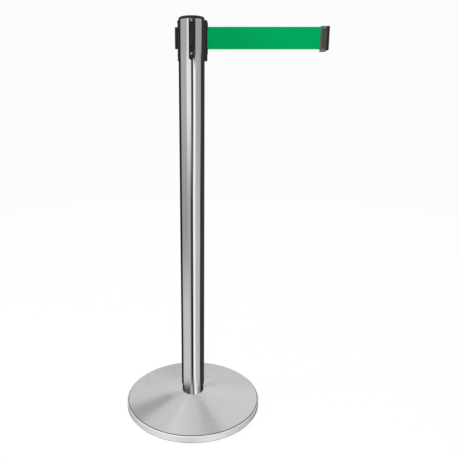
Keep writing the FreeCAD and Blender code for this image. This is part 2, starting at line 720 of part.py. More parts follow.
def upper_flange():
    plate = ring(BOSS_R + FIT, FLANGE_R, FLANGE_TOP_Z, FLANGE_TOP_Z + FLANGE)
    hole = disc(FLANGE_HOLE_R, FLANGE_TOP_Z - OVER, FLANGE_TOP_Z + FLANGE + OVER, FLANGE_HOLE_PITCH_R)
    return plate.cut(around(hole, FLANGE_HOLES, 180.0 / FLANGE_HOLES))


def bushing(z_seat, up):
    """A flanged bush with its flange against z_seat and its sleeve going up or down from there."""
    bore = AXLE_R + FIT
    flange, sleeve = (-BUSH_FLANGE, BUSH_LENGTH) if up else (BUSH_FLANGE, -BUSH_LENGTH)
    spans = [sorted((z_seat, z_seat + d)) for d in (flange, sleeve)]
    return fused([ring(bore, BUSH_FLANGE_R, *spans[0]), ring(bore, BUSH_R, *spans[1])])


def thrust_washer(z0):
    return ring(AXLE_R + THRUST_BORE_CLEAR, BUSH_FLANGE_R, z0, z0 + THRUST_WASHER)


def spring_cup():
    """The drum under the spool that holds the spring's outer end."""
    top = CUP_TOP_Z - FIT
    wall = ring(CUP_R - CUP_WALL, CUP_R, CUP_BOTTOM_Z, top)
    plate = ring(BOSS_R, CUP_R, top - CUP_WALL, top)
    return fused([wall, plate])


def spring_cover():
    return ring(BOSS_R + OVER, CUP_R, CUP_BOTTOM_Z - CUP_WALL, CUP_BOTTOM_Z)


def spiral_spring():
    """A clock spring of half turns about two centres, each half a pitch larger than the last."""
    step = SPRING_PITCH / 2
    z0, z1 = CUP_BOTTOM_Z + SPRING_END_GAP, CUP_TOP_Z - CUP_WALL - SPRING_END_GAP
    start = ARBOR_R + SPRING_THICK / 2 + 2 * FIT

    def side(offset):
        arcs = []
        for i in range(SPRING_HALF_TURNS):
            radius = start + step * i + offset
            centre = Vector(step * (i % 2), 0, z0)
            turns = [math.radians(180 * (i % 2) + a) for a in (0, 90, 180)]
            points = [centre + Vector(radius * math.cos(a), radius * math.sin(a), 0) for a in turns]
            arcs.append(Part.Arc(*points).toShape())
        return arcs

    outer, inner = side(SPRING_THICK / 2), side(-SPRING_THICK / 2)
    ends = [
        Part.LineSegment(inner[i].valueAt(p), outer[i].valueAt(p)).toShape()
        for i, p in ((0, inner[0].FirstParameter), (-1, inner[-1].LastParameter))
    ]
    wire = Part.Wire(Part.__sortEdges__(outer + inner + ends))
    return Part.Face(wire).extrude(Vector(0, 0, z1 - z0))


def belt_roll():
    """The wound belt, drawn as one plain ring of its outer size."""
    return ring(HUB_R + FIT, ROLL_R, BELT_BOTTOM_Z, BELT_TOP_Z)


# ---------------------------------------------------------------- belt and clip


def belt_strap():
    """The belt from where it leaves the roll, round the exit's lip and straight out to its loop."""
    half = BELT_THICK / 2
    roll = ROLL_R + half + FIT
    reach = math.hypot(BEND_X, BEND_R)
    alpha = math.asin((roll + BEND_R) / reach) - math.atan2(BEND_R, BEND_X)
    along = Vector(math.cos(alpha), -math.sin(alpha), 0)
    left = Vector(math.sin(alpha), math.cos(alpha), 0)
    tangent = left * roll
    bend_start = Vector(BEND_X - BEND_R * math.sin(alpha), BEND_R * (1 - math.cos(alpha)), 0)
    inner_length = (bend_start - tangent).Length
    straight_end = CLIP_X + PIN_X - PIN_R

    def side(offset):
        first = tangent + left * offset
        last = first + along * inner_length
        centre = Vector(BEND_X, BEND_R, 0)
        radius = BEND_R - offset
        middle = centre + Vector(-math.sin(alpha / 2), -math.cos(alpha / 2), 0) * radius
        end = Vector(BEND_X, offset, 0)
        return [
            Part.LineSegment(first, last).toShape(),
            Part.Arc(last, middle, end).toShape(),
            Part.LineSegment(end, Vector(straight_end, offset, 0)).toShape(),
        ]

    ends = [(tangent + left * half, tangent - left * half)]
    ends.append((Vector(straight_end, half, 0), Vector(straight_end, -half, 0)))
    caps = [Part.LineSegment(a, b).toShape() for a, b in ends]
    face = Part.Face(Part.Wire(Part.__sortEdges__(side(half) + side(-half) + caps)))
    face.translate(Vector(0, 0, BELT_BOTTOM_Z))
    run = face.extrude(Vector(0, 0, BELT_WIDTH))
    hole_r = PIN_R + AXLE_FIT
    loop = disc(hole_r + BELT_THICK, BELT_BOTTOM_Z, BELT_TOP_Z, CLIP_X + PIN_X)
    hole = disc(hole_r, BELT_BOTTOM_Z - OVER, BELT_TOP_Z + OVER, CLIP_X + PIN_X)
    return fused([run, loop]).cut(hole)


def clip_screw_heights():
    return [BELT_MID_Z + CLIP_SCREW_SPACING * i for i in (-1, 0, 1)]


def rods_back(radius, y0, y1):
    """Cylinders along +Y on the clip screws' axes."""
    starts = [Vector(CLIP_X + CLIP_SCREW_X, y0, z) for z in clip_screw_heights()]
    return [Part.makeCylinder(radius, y1 - y0, start, Vector(0, 1, 0)) for start in starts]


def clip_body():
    """The clip's front half: a framed panel outside, a pocket for the belt's loop and the jaw inside."""
    x, end_x = CLIP_X, CLIP_X + CLIP_LENGTH
    front_y = -CLIP_HALF_DEEP
    shell = box(x, end_x, front_y, SPLIT_Y, CLIP_BOTTOM_Z, CLIP_TOP_Z)
    front = [e for e in shell.Edges if e.BoundBox.YMin < front_y + NEAR]
    outer = [e for e in front if e.BoundBox.XMax < end_x or e.BoundBox.XLength > OVER]
    shell = shell.makeFillet(CLIP_ROUND, outer)
    shell = shell.makeFillet(CLIP_END_ROUND, edges_in(shell, x=(end_x, end_x), y=(front_y, front_y)))
    low, high = BELT_BOTTOM_Z - POCKET_CLEAR, BELT_TOP_Z + POCKET_CLEAR
    back_y = SPLIT_Y + OVER
    pocket = box(x + POCKET_START, x + POCKET_END, -POCKET_HALF_DEEP, back_y, low, high)
    tongue_room = box(x + POCKET_END - OVER, end_x + OVER, -TONGUE_HALF_DEEP - FIT, back_y, low, high)
    entry = box(x - OVER, x + ENTRY_END, -ENTRY_HALF_DEEP, back_y, low, high)
    panel_low, panel_high = BELT_BOTTOM_Z + PANEL_BELOW, BELT_TOP_Z - PANEL_ABOVE
    panel_y = front_y + PANEL_DEEP
    panel = box(x + PANEL_X[0], x + PANEL_X[1], front_y - OVER, panel_y, panel_low, panel_high)
    panel = panel.makeFillet(CLIP_ROUND, [e for e in panel.Edges if e.BoundBox.YLength > OVER])
    holes = rods_back(CLIP_SCREW_R + FIT, CLIP_SCREW_TIP_Y - PAD_GAP, SPLIT_Y)
    return shell.cut([pocket, tongue_room, entry, panel] + holes)


def clip_jaw():
    """The clip's end, whose T-slot slides down over a rail and whose tongue is held in the body."""
    start_x = CLIP_X + CLIP_LENGTH
    tip_x = start_x + JAW_LENGTH
    low_z = BELT_BOTTOM_Z - JAW_BELOW
    top_z = CLIP_TOP_Z - JAW_DROP
    jaw = box(start_x + SEAT_GAP, tip_x, -JAW_HALF_DEEP, JAW_HALF_DEEP, low_z, top_z)
    corner = edges_in(jaw, x=(tip_x, tip_x), z=(low_z, low_z))
    jaw = jaw.makeChamfer(JAW_CHAMFER, corner)
    jaw = jaw.makeFillet(JAW_ROUND, [e for e in jaw.Edges if e.BoundBox.ZLength > BELT_WIDTH / 2])
    tongue_x = CLIP_X + POCKET_END + PAD_GAP
    tongue_low, tongue_high = BELT_BOTTOM_Z - PIN_OVER, BELT_TOP_Z + PIN_OVER
    tongue = box(tongue_x, start_x + OVERLAP, -TONGUE_HALF_DEEP, SPLIT_Y - FIT, tongue_low, tongue_high)
    lip_x = tip_x - JAW_LIP
    slot_low, slot_top = low_z - OVER, RAIL_TOP_Z + SLOT_CLEAR
    cavity_half = RAIL_HEAD / 2 + SLOT_CLEAR
    neck_half = RAIL_NECK / 2 + SLOT_CLEAR
    cavity_x = lip_x - RAIL_HEAD_DEEP - SLOT_CLEAR
    cavity = box(cavity_x, lip_x, -cavity_half, cavity_half, slot_low, slot_top)
    opening = box(lip_x - OVERLAP, tip_x + OVER, -neck_half, neck_half, slot_low, slot_top)
    holes = rods_back(CLIP_SCREW_R + CLIP_SHANK_CLEAR, CLIP_SCREW_TIP_Y - PAD_GAP, SPLIT_Y + OVER)
    return fused([jaw, tongue]).cut([cavity, opening] + holes)


def clip_cover():
    """The clip's back half, screwed on over the belt's loop and the jaw's tongue."""
    x = CLIP_X
    back_y = CLIP_HALF_DEEP
    end_x = x + CLIP_LENGTH - 2 * FIT
    plate = box(x, end_x, SPLIT_Y + SEAT_GAP, back_y, CLIP_BOTTOM_Z, CLIP_TOP_Z)
    plate = plate.makeFillet(CLIP_ROUND, edges_in(plate, y=(back_y, back_y)))
    lip_low, lip_high = BELT_BOTTOM_Z - PAD_GAP, BELT_TOP_Z + PAD_GAP
    lip = box(x + COVER_LIP_X[0], x + COVER_LIP_X[1], ENTRY_HALF_DEEP, SPLIT_Y + OVERLAP, lip_low, lip_high)
    cutters = rods_back(CLIP_SCREW_R + CLIP_COVER_CLEAR, SPLIT_Y - OVER, back_y)
    cutters += rods_back(CLIP_SCREW_HEAD_R + CLIP_COVER_CLEAR, CLIP_SCREW_SEAT_Y, back_y + OVER)
    return fused([plate, lip]).cut(cutters)


def clip_screws():
    x = CLIP_X + CLIP_SCREW_X
    head_y = CLIP_HALF_DEEP - CLIP_HEAD_SUNK
    cross_y = CLIP_SCREW_SEAT_Y + CLIP_CROSS_DEEP
    shanks = rods_back(CLIP_SCREW_R, CLIP_SCREW_TIP_Y, CLIP_SCREW_SEAT_Y + CLIP_SHANK_IN_HEAD)
    heads = rods_back(CLIP_SCREW_HEAD_R, CLIP_SCREW_SEAT_Y, head_y)
    screws = []
    for z, shank, head in zip(clip_screw_heights(), shanks, heads):
        cross = [
            box(x - a, x + a, cross_y, head_y + OVER, z - b, z + b)
            for a, b in ((CLIP_CROSS_HALF, CLIP_CROSS_HALF_WIDE), (CLIP_CROSS_HALF_WIDE, CLIP_CROSS_HALF))
        ]
        screws.append(shank.fuse(head).cut(cross))
    return Part.makeCompound(screws)


def belt_pin():
    """The steel pin in the belt's sewn loop."""
    return disc(PIN_R, BELT_BOTTOM_Z - PIN_OVER, BELT_TOP_Z + PIN_OVER, CLIP_X + PIN_X)


NODES = {
    "base_cover": base_cover,
    "base_weight": base_weight,
    "floor_pad": floor_pad,
    "base_washer": base_washer,
    "lock_washer": lock_washer,
    "base_bolt": base_bolt,
    "post_tube": post_tube,
    "post_foot": post_foot,
    "top_cap": top_cap,
    "receiver_front": lambda: facing(receiver(), AZIMUTHS["front"]),
    "receiver_back": lambda: facing(receiver(), AZIMUTHS["back"]),
    "receiver_left": lambda: facing(receiver(), AZIMUTHS["left"]),
    "exit_bezel": exit_bezel,
    "head_screws": head_screws,
    "cassette_housing": cassette_housing,
    "cassette_lid": cassette_lid,
    "lid_screws": lid_screws,
    "spool_axle": spool_axle,
    "retaining_ring": retaining_ring,
    "spring_arbor": spring_arbor,
    "spool_hub": spool_hub,
    "upper_flange": upper_flange,
    "lower_bushing": lambda: bushing(CUP_TOP_Z, True),
    "upper_bushing": lambda: bushing(FLANGE_TOP_Z + FLANGE, False),
    "lower_thrust_washer": lambda: thrust_washer(CUP_TOP_Z - BUSH_FLANGE - THRUST_GAP - THRUST_WASHER),
    "upper_thrust_washer": lambda: thrust_washer(FLANGE_TOP_Z + FLANGE + BUSH_FLANGE + THRUST_GAP),
    "spring_cup": spring_cup,
    "spring_cover": spring_cover,
    "spiral_spring": spiral_spring,
    "belt_roll": belt_roll,
    "belt_strap": belt_strap,
    "clip_body": clip_body,
    "clip_jaw": clip_jaw,
    "clip_cover": clip_cover,
    "clip_screws": clip_screws,
    "belt_pin": belt_pin,
}

os.makedirs("parts", exist_ok=True)
for name, make in NODES.items():
    shape = make()
    if not shape.isValid():
        raise ValueError(name + " is not a valid solid")
    shape.exportStep("parts/" + name + ".step")
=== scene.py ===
import json
import math

import bpy
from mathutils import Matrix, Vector


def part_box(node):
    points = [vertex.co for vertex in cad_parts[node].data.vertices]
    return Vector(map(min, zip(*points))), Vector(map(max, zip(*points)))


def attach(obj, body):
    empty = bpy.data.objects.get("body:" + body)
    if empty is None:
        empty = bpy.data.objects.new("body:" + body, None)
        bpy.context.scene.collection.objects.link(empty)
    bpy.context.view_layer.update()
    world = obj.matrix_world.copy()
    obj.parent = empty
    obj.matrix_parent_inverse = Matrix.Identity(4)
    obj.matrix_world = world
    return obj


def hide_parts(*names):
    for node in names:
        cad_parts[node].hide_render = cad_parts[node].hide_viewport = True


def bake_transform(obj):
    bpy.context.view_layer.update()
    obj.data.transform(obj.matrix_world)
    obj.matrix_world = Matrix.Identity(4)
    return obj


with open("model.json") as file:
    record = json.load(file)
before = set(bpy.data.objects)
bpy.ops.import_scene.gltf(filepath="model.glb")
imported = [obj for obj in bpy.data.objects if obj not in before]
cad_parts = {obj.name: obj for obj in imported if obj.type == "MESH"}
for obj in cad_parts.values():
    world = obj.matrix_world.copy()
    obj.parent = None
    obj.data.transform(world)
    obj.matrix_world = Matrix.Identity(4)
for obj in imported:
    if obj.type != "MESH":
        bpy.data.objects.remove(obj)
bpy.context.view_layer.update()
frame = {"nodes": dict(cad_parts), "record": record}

# Looks for the retractable belt stanchion, in metres. The post is on the origin and the belt runs along +X.

TAU = 2 * math.pi

# Camera
CAMERA_AT = (0.0217, -1.2459, 0.8147)
CAMERA_TILT = 76.12
CAMERA_LENS = 38.47
SENSOR = 36.0
CAMERA_SHIFT = 0.0619

# Studio: what polished metal sees around it, as (azimuth in degrees from the front toward the right,
# luminance). NECK, FLOOR_SIDE, WAIST and HEAD are what the post shows from its foot up, and BESIDE_STRIP
# its topmost part. OVERHEAD is what the base shows, and FLOOR is what lies below.
NECK = [
    (-180, 0.02),
    (-100, 0.03),
    (-88, 0.11),
    (-76, 0.03),
    (-32, 0.03),
    (-20, 0.46),
    (-3, 0.46),
    (4, 0.04),
    (12, 0.04),
    (22, 0.85),
    (44, 0.92),
    (54, 0.30),
    (82, 0.24),
    (98, 0.02),
    (180, 0.02),
]
FLOOR_SIDE = [
    (-180, 0.62),
    (-164, 0.62),
    (-158, 0.015),
    (-114, 0.015),
    (-104, 0.56),
    (-34, 0.58),
    (-20, 0.45),
    (-11, 0.012),
    (4, 0.012),
    (12, 1.0),
    (22, 1.0),
    (32, 0.52),
    (73, 0.50),
    (79, 0.028),
    (140, 0.05),
    (158, 0.03),
    (164, 0.62),
    (180, 0.62),
]
WAIST = [
    (-180, 0.55),
    (-164, 0.55),
    (-158, 0.012),
    (-114, 0.012),
    (-106, 0.34),
    (-50, 0.33),
    (-44, 0.39),
    (-20, 0.39),
    (-10, 0.03),
    (5, 0.03),
    (13, 1.0),
    (23, 1.0),
    (33, 0.52),
    (76, 0.50),
    (82, 0.03),
    (140, 0.05),
    (158, 0.03),
    (164, 0.55),
    (180, 0.55),
]
HEAD = [
    (-180, 0.70),
    (-164, 0.70),
    (-158, 0.02),
    (-114, 0.02),
    (-106, 0.42),
    (-50, 0.42),
    (-42, 0.80),
    (-9, 0.82),
    (-1, 0.025),
    (11, 0.025),
    (18, 1.0),
    (30, 1.0),
    (39, 0.42),
    (84, 0.38),
    (92, 0.03),
    (140, 0.04),
    (158, 0.03),
    (164, 0.70),
    (180, 0.70),
]
BESIDE_STRIP = [
    (-180, 0.02),
    (-114, 0.02),
    (-106, 0.40),
    (-45, 0.42),
    (-36, 0.80),
    (-10, 0.82),
    (0, 0.025),
    (33, 0.02),
    (38, 0.37),
    (94, 0.36),
    (101, 0.02),
    (140, 0.03),
    (180, 0.03),
]
OVERHEAD = [
    (-180, 0.80),
    (-150, 0.80),
    (-128, 0.74),
    (-112, 0.80),
    (-90, 0.72),
    (-76, 0.66),
    (-68, 0.34),
    (-57, 0.34),
    (-49, 0.70),
    (-36, 0.70),
    (-23, 0.66),
    (-20, 1.25),
    (-17, 0.66),
    (9, 0.73),
    (11, 0.40),
    (15, 0.40),
    (18, 0.54),
    (22, 0.20),
    (25, 0.71),
    (60, 0.70),
    (90, 0.76),
    (140, 0.86),
    (152, 0.74),
    (164, 0.82),
    (180, 0.80),
]
FLOOR = [
    (-180, 0.62),
    (-164, 0.62),
    (-158, 0.02),
    (-136, 0.02),
    (-130, 0.80),
    (-110, 0.80),
    (-104, 0.02),
    (-94, 0.02),
    (-88, 0.95),
    (-20, 1.20),
    (-11, 0.02),
    (2, 0.02),
    (9, 1.25),
    (70, 1.25),
    (78, 0.03),
    (88, 0.03),
    (94, 1.40),
    (130, 1.40),
    (136, 0.03),
    (158, 0.03),
    (164, 0.62),
    (180, 0.62),
]
# Each layer, with the span of elevations in degrees over which it takes over from the one before
LAYERS = [
    (FLOOR, None),
    (NECK, (-36, -34)),
    (FLOOR_SIDE, (-31.9, -31.1)),
    (WAIST, (-25, -14)),
    (HEAD, (-12, 1)),
    (BESIDE_STRIP, (5.6, 6.0)),
]
OVERHEAD_RISE = (10.5, 12.5)
# Overhead, the bands fan out from the point that a level mirror shows behind the post
OVERHEAD_CENTRE = 0.857
# Pieces that the polished steel doesn't mirror
UNREFLECTED = ["base_cover", "base_weight", "floor_pad", "post_tube", "post_foot"]
FLOOR_MIDDLE_R = 1.2
BOWL_R = 3.6
BOWL_EDGE_R = 7.0
BOWL_HEIGHT = 9.0
BOWL_STEPS = 24
BOWL_SIDES = 96
BOWL_GLOW = 0.962

# Lights: name, place, the point aimed at, diameter, watts
LIGHTS = [
    ("key", (-0.05, -3.1, 2.2), (0.05, 0, 0.7), 1.0, 122),
    ("side", (-2.9, -0.7, 1.5), (0.0, 0, 0.8), 0.6, 80),
    ("fill", (2.4, -2.6, 1.2), (0.05, 0, 0.6), 2.0, 22),
    ("top", (0.0, 0.3, 3.2), (0, 0, 0), 2.4, 40),
    ("back", (0.6, 2.8, 1.8), (0, 0, 0.5), 2.2, 40),
]

# Steel and plastic
MM = 0.001
SPUN_DEPTH = 0.06 * MM
SPUN_GRAIN_DEPTH = 0.0012 * MM
RIM_METALLIC = 0.72
RIM_IN_FROM_WEIGHT = 2.8 * MM
PLASTIC_GRAIN_DEPTH = 0.012 * MM
# Reach of the paler plastic edges (worn plastic and painted highlight), and reach and depth of the painted
# shade in hollows
EDGE_WEAR_AND_HIGHLIGHT_REACH = 0.7 * MM
HOLLOW_REACH = 4.0 * MM
HOLLOW_SHADE = 0.25

# Belt
BELT_THICK = 0.55 * MM
ROLL_THICK_SHARE = 0.94
BEND_R = 4.0 * MM
BEND_X = 33.0 * MM
HUB_R = 11.0 * MM
SELVEDGE_STEPS = 4
BELT_COLUMNS = 24
WEAVE_ALONG = 1.10 * MM
WEAVE_ACROSS = 0.84 * MM
YARN_DEPTH = 0.09 * MM
ROLL_STEPS_PER_TURN = 40
LEAD_STEPS = 8
LOOP_STEPS = 12
LOOP_CLEAR = 0.05 * MM
LOOP_NECK = 2.6 * MM
TAIL_SHORT = 1.2 * MM
TAIL_LIFT = 1.08


# ---------------------------------------------------------------- camera


def make_camera():
    camera = bpy.data.objects.new("camera", bpy.data.cameras.new("camera"))
    bpy.context.scene.collection.objects.link(camera)
    camera.location = CAMERA_AT
    camera.rotation_euler = (math.radians(CAMERA_TILT), 0, 0)
    camera.data.sensor_width = SENSOR
    camera.data.lens = CAMERA_LENS
    camera.data.shift_x = CAMERA_SHIFT
    camera.data.clip_start = 0.05
    camera.data.clip_end = 60
    bpy.context.scene.camera = camera


# ---------------------------------------------------------------- shader building


class Shader:
    """A node tree that is built up call by call. A value is a number, a colour or another node's output."""

    def __init__(self, tree):
        self.tree = tree

    def add(self, kind, **settings):
        node = self.tree.nodes.new("ShaderNode" + kind)
        for name, value in settings.items():
            setattr(node, name, value)
        return node

    def put(self, socket, value):
        if isinstance(value, bpy.types.NodeSocket):
            self.tree.links.new(value, socket)
        else:
            socket.default_value = value

    def math(self, operation, a, b=0.0):
        node = self.add("Math", operation=operation)
        self.put(node.inputs[0], a)
        self.put(node.inputs[1], b)
        return node.outputs[0]

    def smooth(self, value, low, high, out_low=0.0, out_high=1.0, kind="SMOOTHSTEP"):
        """value carried from low..high to out_low..out_high, held at both ends."""
        node = self.add("MapRange", interpolation_type=kind)
        for i, v in enumerate((value, low, high, out_low, out_high)):
            self.put(node.inputs[i], v)
        return node.outputs[0]

    def mix(self, share, a, b):
        node = self.add("Mix", data_type="RGBA", blend_type="MIX")
        self.put(node.inputs[0], share)
        self.put(node.inputs[6], a)
        self.put(node.inputs[7], b)
        return node.outputs[2]

    def split(self, vector):
        node = self.add("SeparateXYZ")
        self.put(node.inputs[0], vector)
        return node.outputs

    def stretch(self, vector, sizes):
        node = self.add("Mapping")
        self.put(node.inputs["Vector"], vector)
        node.inputs["Scale"].default_value = sizes
        return node.outputs[0]

    def noise(self, vector, scale, detail=3.0, rough=0.5):
        node = self.add("TexNoise")
        self.put(node.inputs["Vector"], vector)
        node.inputs["Scale"].default_value = scale
        node.inputs["Detail"].default_value = detail
        node.inputs["Roughness"].default_value = rough
        return node.outputs[0]

    def noise_along(self, value, scale):
        """Noise that changes along one number only."""
        node = self.add("TexNoise", noise_dimensions="1D")
        self.put(node.inputs["W"], value)
        node.inputs["Scale"].default_value = scale
        node.inputs["Detail"].default_value = 3.0
        node.inputs["Roughness"].default_value = 0.6
        return node.outputs[0]

    def ramp(self, value, stops):
        node = self.add("ValToRGB")
        self.put(node.inputs[0], value)
        elements = node.color_ramp.elements
        while len(elements) < len(stops):
            elements.new(1.0)
        for element, (place, level) in zip(elements, stops):
            element.position = place
            element.color = (level, level, level, 1)
        return node.outputs[0]


class Finish(Shader):
    """One surface finish on a Principled shader."""

    def __init__(self, name, colour, roughness, metallic=0.0, **sockets):
        self.material = bpy.data.materials.new(name)
        self.material.use_nodes = True
        super().__init__(self.material.node_tree)
        self.shader = self.tree.nodes["Principled BSDF"]
        self.place = self.add("TexCoord").outputs["Object"]
        self.colour = (*colour, 1)
        self.set("Base Color", self.colour)
        self.set("Roughness", roughness)
        self.set("Metallic", metallic)
        for socket, value in sockets.items():
            self.set(socket.replace("_", " "), value)

    def set(self, socket, value):
        self.put(self.shader.inputs[socket], value)

    def bumps(self, *layers):
        """Bump from (height, distance in metres) layers, one on top of another."""
        normal = None
        for height, distance in layers:
            node = self.add("Bump")
            self.put(node.inputs["Height"], height)
            node.inputs["Distance"].default_value = distance
            if normal is not None:
                self.put(node.inputs["Normal"], normal)
            normal = node.outputs[0]
        self.set("Normal", normal)

    def edges(self, radius):
        """1 on sharp edges, 0 elsewhere, from how a bevel would turn the surface."""
        bevel = self.add("Bevel", samples=6)
        bevel.inputs["Radius"].default_value = radius
        flat = self.add("NewGeometry").outputs["Normal"]
        dot = self.add("VectorMath", operation="DOT_PRODUCT")
        self.put(dot.inputs[0], bevel.outputs[0])
        self.put(dot.inputs[1], flat)
        return self.smooth(dot.outputs["Value"], 0.995, 0.90)

    def shades(self, share, dark, light):
        """Base colour between two brightnesses of the finish's own colour."""
        a = (*[c * dark for c in self.colour[:3]], 1)
        b = (*[min(1, c * light) for c in self.colour[:3]], 1)
        return self.mix(share, a, b)


# ---------------------------------------------------------------- studio


def around_post(sky, x, front):
    """The azimuth from the front toward the right, as 0 to 1."""
    return sky.math("ADD", sky.math("DIVIDE", sky.math("ARCTAN2", x, front), TAU), 0.5)


def azimuth_stops(bands):
    return [((azimuth + 180) / 360, level) for azimuth, level in bands]


def height_share(sky, z, rise):
    low, high = (math.sin(math.radians(a)) for a in rise)
    return sky.smooth(z, low, high)


def make_sky():
    """What glossy surfaces reflect: soft boxes and black flags round the post. Nothing else sees it."""
    world = bpy.data.worlds.new("studio")
    bpy.context.scene.world = world
    world.use_nodes = True
    world.cycles_visibility.camera = False
    world.cycles_visibility.diffuse = False
    world.cycles_visibility.transmission = False
    world.cycles_visibility.scatter = False
    sky = Shader(world.node_tree)
    x, y, z = sky.split(sky.add("TexCoord").outputs["Generated"])
    front = sky.math("MULTIPLY", y, -1)
    turn = around_post(sky, x, front)
    colour = None
    for bands, rise in LAYERS:
        layer = sky.ramp(turn, azimuth_stops(bands))
        colour = sky.mix(height_share(sky, z, rise), colour, layer) if rise else layer
    fan = around_post(sky, x, sky.math("ADD", front, OVERHEAD_CENTRE))
    overhead = sky.ramp(fan, azimuth_stops(OVERHEAD))
    colour = sky.mix(height_share(sky, z, OVERHEAD_RISE), colour, overhead)
    sky.put(world.node_tree.nodes["Background"].inputs["Color"], colour)


def surface_mesh(name, points, faces):
    mesh = bpy.data.meshes.new(name)
    mesh.from_pydata(points, [], faces)
    mesh.validate()
    mesh.update()
    mesh.polygons.foreach_set("use_smooth", [True] * len(mesh.polygons))
    obj = bpy.data.objects.new(name, mesh)
    bpy.context.scene.collection.objects.link(obj)
    return obj


def make_floor():
    """A pale floor that sweeps up into a round backdrop, the same from every side."""
    sides = BOWL_SIDES
    profile = [(FLOOR_MIDDLE_R, 0.0), (BOWL_R, 0.0)]
    for i in range(1, BOWL_STEPS + 1):
        a = math.pi / 2 * i / BOWL_STEPS
        profile.append((BOWL_R + (BOWL_EDGE_R - BOWL_R) * math.sin(a), BOWL_HEIGHT * (1 - math.cos(a))))
    points = [(0, 0, 0)]
    for r, z in profile:
        points += [(r * math.cos(TAU * j / sides), r * math.sin(TAU * j / sides), z) for j in range(sides)]
    faces = [(0, 1 + j, 1 + (j + 1) % sides) for j in range(sides)]
    for i in range(len(profile) - 1):
        a, b = 1 + i * sides, 1 + (i + 1) * sides
        faces += [(a + j, b + j, b + (j + 1) % sides, a + (j + 1) % sides) for j in range(sides)]
    floor = surface_mesh("floor", points, faces)
    finish = Finish("pale_floor", (0.03, 0.03, 0.03), 0.9)
    finish.set("Specular IOR Level", 0.0)
    finish.set("Emission Color", (1, 1, 1, 1))
    finish.set("Emission Strength", BOWL_GLOW)
    floor.data.materials.append(finish.material)
    floor.visible_glossy = False
    floor.visible_diffuse = False


def area_light(name, at, aim, size, watts):
    light = bpy.data.lights.new(name, "AREA")
    light.shape = "DISK"
    light.size = size
    light.energy = watts
    obj = bpy.data.objects.new(name, light)
    bpy.context.scene.collection.objects.link(obj)
    obj.location = at
    obj.rotation_euler = (Vector(aim) - Vector(at)).to_track_quat("-Z", "Y").to_euler()
    obj.visible_glossy = False
    obj.visible_camera = False


def make_lights():
    for light in LIGHTS:
        area_light(*light)


# ---------------------------------------------------------------- finishes


def polished_stainless():
    f = Finish("polished_stainless", (0.93, 0.925, 0.91), 0.07, 1.0)
    rings = f.noise(f.stretch(f.place, (40, 40, 2600)), 1.0, 2.0)
    draws = f.noise(f.stretch(f.place, (1500, 1500, 3)), 1.0, 2.0)
    smudges = f.noise(f.stretch(f.place, (1, 1, 0.35)), 26, 4.0, 0.6)
    rough = f.smooth(smudges, 0.42, 0.72, 0.055, 0.10)
    f.set("Roughness", f.math("ADD", rough, f.math("MULTIPLY", rings, 0.012)))
    f.set("Base Color", f.shades(f.smooth(smudges, 0.3, 0.7), 1.0, 0.965))
    f.bumps((rings, 0.0012 * MM), (draws, 0.0015 * MM))
    return f


def spun_stainless():
    """Sheet spun on a lathe: fine rings that spread a reflection toward and away from the centre."""
    f = Finish("spun_stainless", (0.86, 0.857, 0.845), 0.30, 1.0)
    tangent = f.add("Tangent", direction_type="RADIAL", axis="Z")
    f.set("Tangent", tangent.outputs[0])
    f.set("Anisotropic Rotation", 0.25)
    x, y, _ = f.split(f.place)
    radius = f.math("SQRT", f.math("ADD", f.math("MULTIPLY", x, x), f.math("MULTIPLY", y, y)))
    lip_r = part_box("base_weight")[1].x - RIM_IN_FROM_WEIGHT
    rim = f.smooth(radius, lip_r - 0.4 * MM, lip_r + 0.2 * MM)
    # Painted shade: a near-black ring at the foot of the lip, where the cone meets the rim band.
    lip_painted_shade = f.math("MULTIPLY", rim, f.smooth(radius, lip_r + 1.9 * MM, lip_r + 1.3 * MM))
    lines = f.noise_along(radius, 1500)
    bands = f.noise_along(radius, 160)
    marks = f.noise(f.place, 30, 4.0, 0.6)
    grain = f.noise(f.place, 420, 3.0, 0.6)
    rough = f.math("ADD", f.smooth(bands, 0.3, 0.7, 0.245, 0.27), f.smooth(marks, 0.45, 0.75, 0.0, 0.012))
    f.set("Roughness", f.smooth(rim, 0, 1, rough, 0.52, kind="LINEAR"))
    f.set("Anisotropic", f.smooth(rim, 0, 1, 1.0, 0.2, kind="LINEAR"))
    f.set("Metallic", f.smooth(rim, 0, 1, 1.0, RIM_METALLIC, kind="LINEAR"))
    tone = f.math("ADD", f.math("MULTIPLY", grain, 0.6), f.math("MULTIPLY", bands, 0.4))
    turned = f.mix(rim, f.shades(tone, 0.93, 1.05), f.shades(tone, 1.06, 1.16))
    # The lip's ring is painted near-black as shade.
    f.set("Base Color", f.mix(lip_painted_shade, turned, (0.004, 0.004, 0.004, 1)))
    f.bumps((lines, SPUN_DEPTH), (grain, SPUN_GRAIN_DEPTH))
    return f


def moulded(name, colour, roughness, edge_wear_and_highlight=1.9, shine=0.45):
    """Injection-moulded plastic: a fine grain, faint flow marks, painted shade in the hollows, and edges
    painted paler, partly worn and partly a painted highlight.
    """
    f = Finish(name, colour, roughness)
    f.set("Specular IOR Level", shine)
    grains = f.noise(f.place, 3800, 2.0)
    flow = f.noise(f.stretch(f.place, (1, 1, 0.25)), 140, 3.0)
    # Edges painted paler: partly worn plastic, partly a painted highlight.
    worn_and_highlit_edges = f.edges(EDGE_WEAR_AND_HIGHLIGHT_REACH)
    # Painted shade: hollows darkened by ambient occlusion, down to HOLLOW_SHADE of the colour.
    hollows = f.add("AmbientOcclusion", samples=8)
    hollows.inputs["Distance"].default_value = HOLLOW_REACH
    unshaded = f.smooth(hollows.outputs["AO"], 0.35, 0.95)
    flow_tone_and_painted_shade = f.mix(unshaded, (*[c * HOLLOW_SHADE for c in colour], 1), f.shades(flow, 0.9, 1.15))
    f.set("Base Color", f.mix(worn_and_highlit_edges, flow_tone_and_painted_shade, (*[c * edge_wear_and_highlight for c in colour], 1)))
    f.set("Roughness", f.smooth(flow, 0.3, 0.7, roughness - 0.05, roughness + 0.06))
    f.bumps((grains, PLASTIC_GRAIN_DEPTH))
    return f


